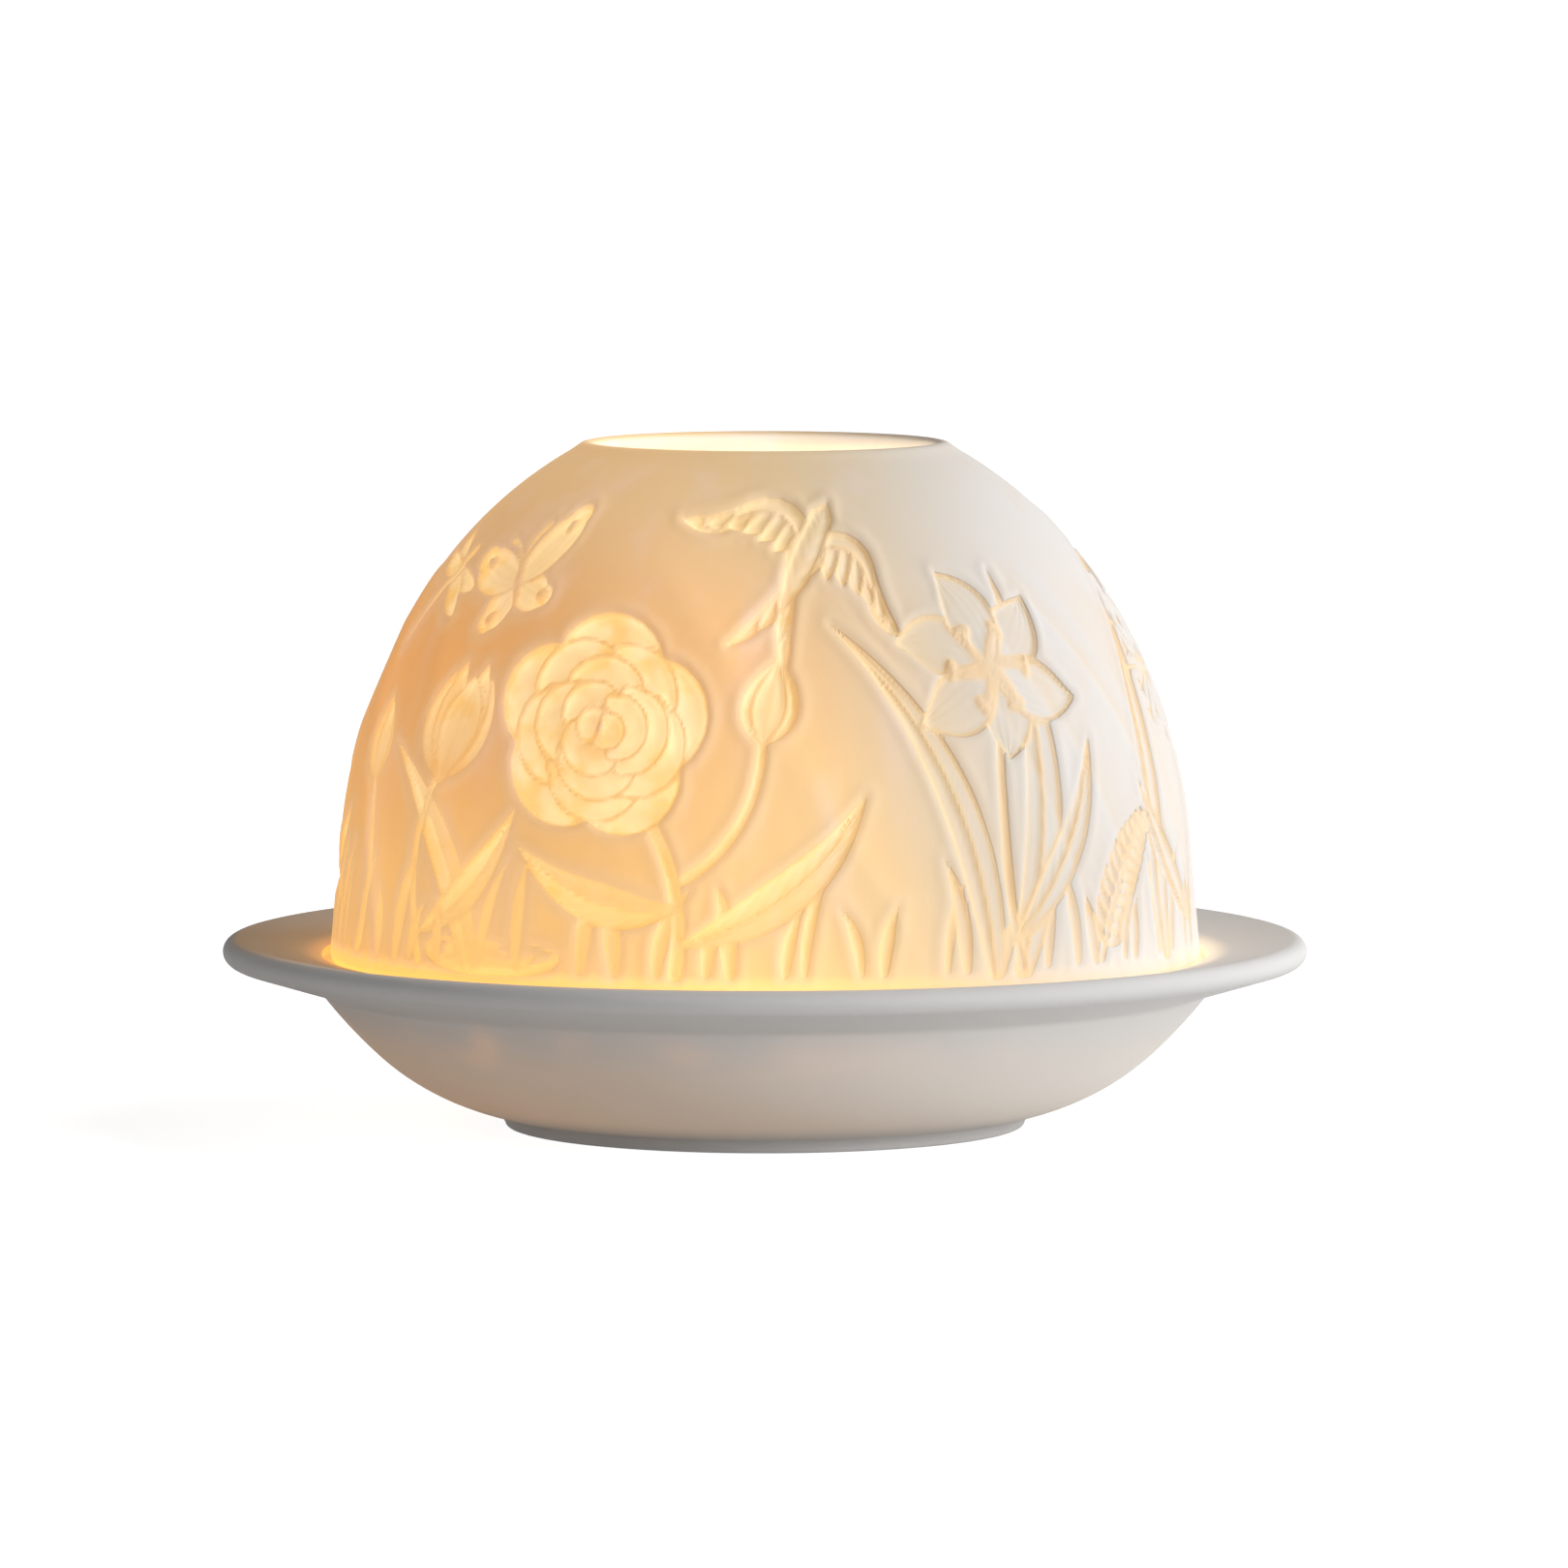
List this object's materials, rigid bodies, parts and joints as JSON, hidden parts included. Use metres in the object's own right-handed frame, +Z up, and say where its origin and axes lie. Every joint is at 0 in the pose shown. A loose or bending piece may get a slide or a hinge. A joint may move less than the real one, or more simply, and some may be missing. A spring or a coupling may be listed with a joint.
{
  "type": "lithophane tealight holder",
  "caption": "Open-topped porcelain lithophane dome on a rimmed saucer, glowing over a tealight set in the saucer's recess.",
  "frame": {"origin": "centre of the foot ring's underside, on the surface the saucer stands on", "axes": "+Z up along the axis of saucer, candle and dome; -Y towards the viewer of the main side; +X to that viewer's right"},
  "size_m": [0.12, 0.12, 0.0758],
  "materials": {
    "saucer_bisque": "matte",
    "dome_bisque": "matte",
    "cup_aluminium": "satin",
    "wax": "satin",
    "tinplate": "satin",
    "wick_cotton": "matte"
  },
  "bodies": {
    "base": {"saucer": "saucer_bisque"},
    "shade": {"dome": "dome_bisque"},
    "tealight": {"candle_cup": "cup_aluminium", "candle_wax": "wax", "wick_holder": "tinplate", "wick": "wick_cotton"}
  },
  "joints": [
    {"name": "dome_lift", "type": "slide", "parent": "base", "child": "shade", "axis": [0, 0, 1], "range_m": [0, 0.1]},
    {"name": "tealight_lift", "type": "slide", "parent": "base", "child": "tealight", "axis": [0, 0, 1], "range_m": [0, 0.045]}
  ]
}
